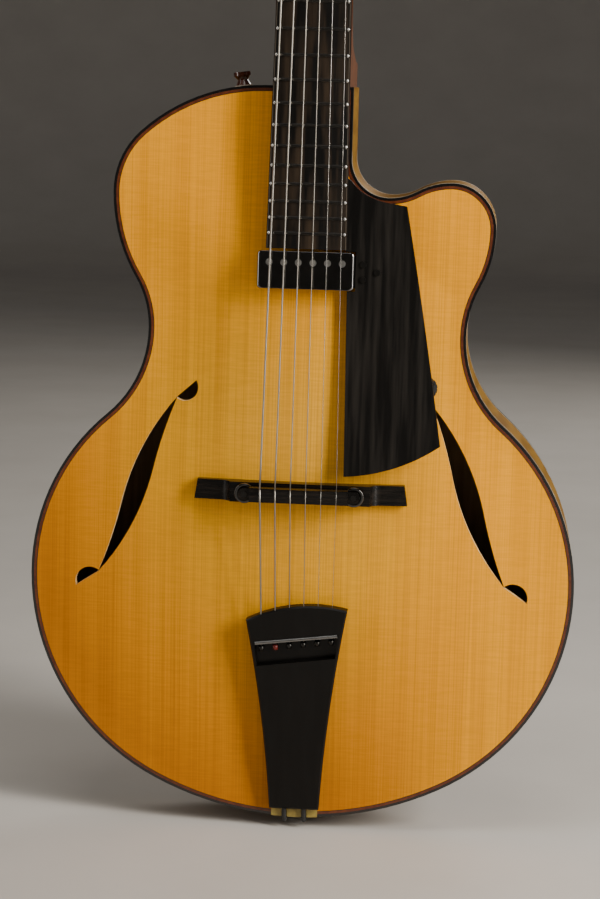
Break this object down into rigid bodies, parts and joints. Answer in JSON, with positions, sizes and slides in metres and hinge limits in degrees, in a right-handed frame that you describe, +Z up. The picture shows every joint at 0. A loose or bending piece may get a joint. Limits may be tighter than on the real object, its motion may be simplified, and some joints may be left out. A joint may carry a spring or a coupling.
{
  "type": "archtop guitar",
  "caption": "Hollow carved archtop guitar with f-holes, one cutaway, floating bridge, ebony tailpiece on a cord, floating pickup and geared tuners.",
  "frame": {"origin": "centre of the output jack's mouth at the tail end of the body", "axes": "+Z up the strings from tail to headstock, -Y out of the carved top, +X to the treble side"},
  "size_m": [0.3964, 0.129, 1.0705],
  "materials": {
    "spruce": "clear gloss lacquer over carved spruce",
    "maple": "clear gloss lacquer over figured maple",
    "neck_wood": "satin red-brown stain",
    "inner_wood": "bare planed wood",
    "ebony": "satin oiled ebony",
    "binding": "polished black",
    "bone": "polished pale bone",
    "steel": "bright drawn wire",
    "wound_wire": "wound nickel wire",
    "fret_wire": "polished fret wire",
    "dark_chrome": "dark polished plate",
    "black_screw": "blackened steel",
    "coil_body": "matt black",
    "hardware": "polished plate",
    "cord": "braided black cord",
    "button_wood": "turned and polished",
    "felt": "pale felt"
  },
  "bodies": {
    "instrument": {"top_plate": "spruce", "top_binding": "binding", "back_plate": "maple", "bass_rib": "maple", "treble_rib": "maple", "neck_block": "inner_wood", "tail_block": "inner_wood", "tone_bars": "inner_wood", "neck": "neck_wood", "heel_cap": "ebony", "truss_rod": "steel", "fingerboard": "ebony", "frets": "fret_wire", "nut": "bone", "truss_rod_cover": "ebony", "tuner_housings": "hardware", "wound_strings": "wound_wire", "plain_strings": "steel", "bridge_base": "ebony", "bridge_posts": "black_screw", "pickup_cover": "dark_chrome", "pickup_body": "coil_body", "pickup_pole_screws": "hardware", "pickguard": "ebony", "pickguard_post": "ebony", "volume_pot": "hardware", "small_screws": "black_screw", "tailpiece": "ebony", "tailpiece_bar": "hardware", "tail_cord": "cord", "tail_saddle": "bone", "end_pin_jack": "hardware", "strap_button_washer": "felt", "strap_button": "button_wood"},
    "bridge_top": {"bridge_saddle": "ebony"},
    "bass_wheel": {"bass_thumbwheel": "black_screw"},
    "treble_wheel": {"treble_thumbwheel": "black_screw"},
    "volume_wheel_body": {"volume_wheel": "coil_body"},
    "knob_1": {"tuner_knob_1": "hardware"},
    "post_1": {"tuner_post_1": "hardware"},
    "knob_2": {"tuner_knob_2": "hardware"},
    "post_2": {"tuner_post_2": "hardware"},
    "knob_3": {"tuner_knob_3": "hardware"},
    "post_3": {"tuner_post_3": "hardware"},
    "knob_4": {"tuner_knob_4": "hardware"},
    "post_4": {"tuner_post_4": "hardware"},
    "knob_5": {"tuner_knob_5": "hardware"},
    "post_5": {"tuner_post_5": "hardware"},
    "knob_6": {"tuner_knob_6": "hardware"},
    "post_6": {"tuner_post_6": "hardware"}
  },
  "joints": [
    {"name": "tuner_knob_turn_1", "type": "hinge", "parent": "instrument", "child": "knob_1", "pos_m": [0.022, 0.01248, 0.93877], "axis": [1, 0, 0], "continuous": true},
    {"name": "tuner_post_turn_1", "type": "hinge", "parent": "instrument", "child": "post_1", "pos_m": [0.022, -0.00522, 0.95062], "axis": [0, -0.9511, 0.309], "continuous": true},
    {"name": "tuner_knob_turn_2", "type": "hinge", "parent": "instrument", "child": "knob_2", "pos_m": [0.024, 0.02484, 0.97681], "axis": [1, 0, 0], "continuous": true},
    {"name": "tuner_post_turn_2", "type": "hinge", "parent": "instrument", "child": "post_2", "pos_m": [0.024, 0.00714, 0.98867], "axis": [0, -0.9511, 0.309], "continuous": true},
    {"name": "tuner_knob_turn_3", "type": "hinge", "parent": "instrument", "child": "knob_3", "pos_m": [0.026, 0.03721, 1.01486], "axis": [1, 0, 0], "continuous": true},
    {"name": "tuner_post_turn_3", "type": "hinge", "parent": "instrument", "child": "post_3", "pos_m": [0.026, 0.0195, 1.02671], "axis": [0, -0.9511, 0.309], "continuous": true},
    {"name": "tuner_knob_turn_4", "type": "hinge", "parent": "instrument", "child": "knob_4", "pos_m": [-0.026, 0.03721, 1.01486], "axis": [1, 0, 0], "continuous": true},
    {"name": "tuner_post_turn_4", "type": "hinge", "parent": "instrument", "child": "post_4", "pos_m": [-0.026, 0.0195, 1.02671], "axis": [0, -0.9511, 0.309], "continuous": true},
    {"name": "tuner_knob_turn_5", "type": "hinge", "parent": "instrument", "child": "knob_5", "pos_m": [-0.024, 0.02484, 0.97681], "axis": [1, 0, 0], "continuous": true},
    {"name": "tuner_post_turn_5", "type": "hinge", "parent": "instrument", "child": "post_5", "pos_m": [-0.024, 0.00714, 0.98867], "axis": [0, -0.9511, 0.309], "continuous": true},
    {"name": "tuner_knob_turn_6", "type": "hinge", "parent": "instrument", "child": "knob_6", "pos_m": [-0.022, 0.01248, 0.93877], "axis": [1, 0, 0], "continuous": true},
    {"name": "tuner_post_turn_6", "type": "hinge", "parent": "instrument", "child": "post_6", "pos_m": [-0.022, -0.00522, 0.95062], "axis": [0, -0.9511, 0.309], "continuous": true},
    {"name": "saddle_height", "type": "slide", "parent": "instrument", "child": "bridge_top", "axis": [0, -1, 0], "range_m": [-0.0016, 0.0024], "deforming": ["wound_strings", "plain_strings"]},
    {"name": "bass_wheel_turn", "type": "hinge", "parent": "bridge_top", "child": "bass_wheel", "pos_m": [-0.0391, -0.0648, 0.25439], "axis": [0, -1, 0], "range_deg": [-720, 1080]},
    {"name": "treble_wheel_turn", "type": "hinge", "parent": "bridge_top", "child": "treble_wheel", "pos_m": [0.0391, -0.0648, 0.25439], "axis": [0, -1, 0], "range_deg": [-720, 1080]},
    {"name": "volume_turn", "type": "hinge", "parent": "instrument", "child": "volume_wheel_body", "pos_m": [0.0872, -0.04524, 0.33169], "axis": [0, -0.9986, 0.0523], "range_deg": [0, 270]}
  ],
  "couplings": [
    {"joint": "tuner_post_turn_1", "follows": "tuner_knob_turn_1", "ratio": -0.066667},
    {"joint": "tuner_post_turn_2", "follows": "tuner_knob_turn_2", "ratio": -0.066667},
    {"joint": "tuner_post_turn_3", "follows": "tuner_knob_turn_3", "ratio": -0.066667},
    {"joint": "tuner_post_turn_4", "follows": "tuner_knob_turn_4", "ratio": 0.066667},
    {"joint": "tuner_post_turn_5", "follows": "tuner_knob_turn_5", "ratio": 0.066667},
    {"joint": "tuner_post_turn_6", "follows": "tuner_knob_turn_6", "ratio": 0.066667},
    {"joint": "saddle_height", "follows": "bass_wheel_turn", "m_per_rad": 0.00012732},
    {"joint": "treble_wheel_turn", "follows": "bass_wheel_turn", "ratio": 1}
  ]
}
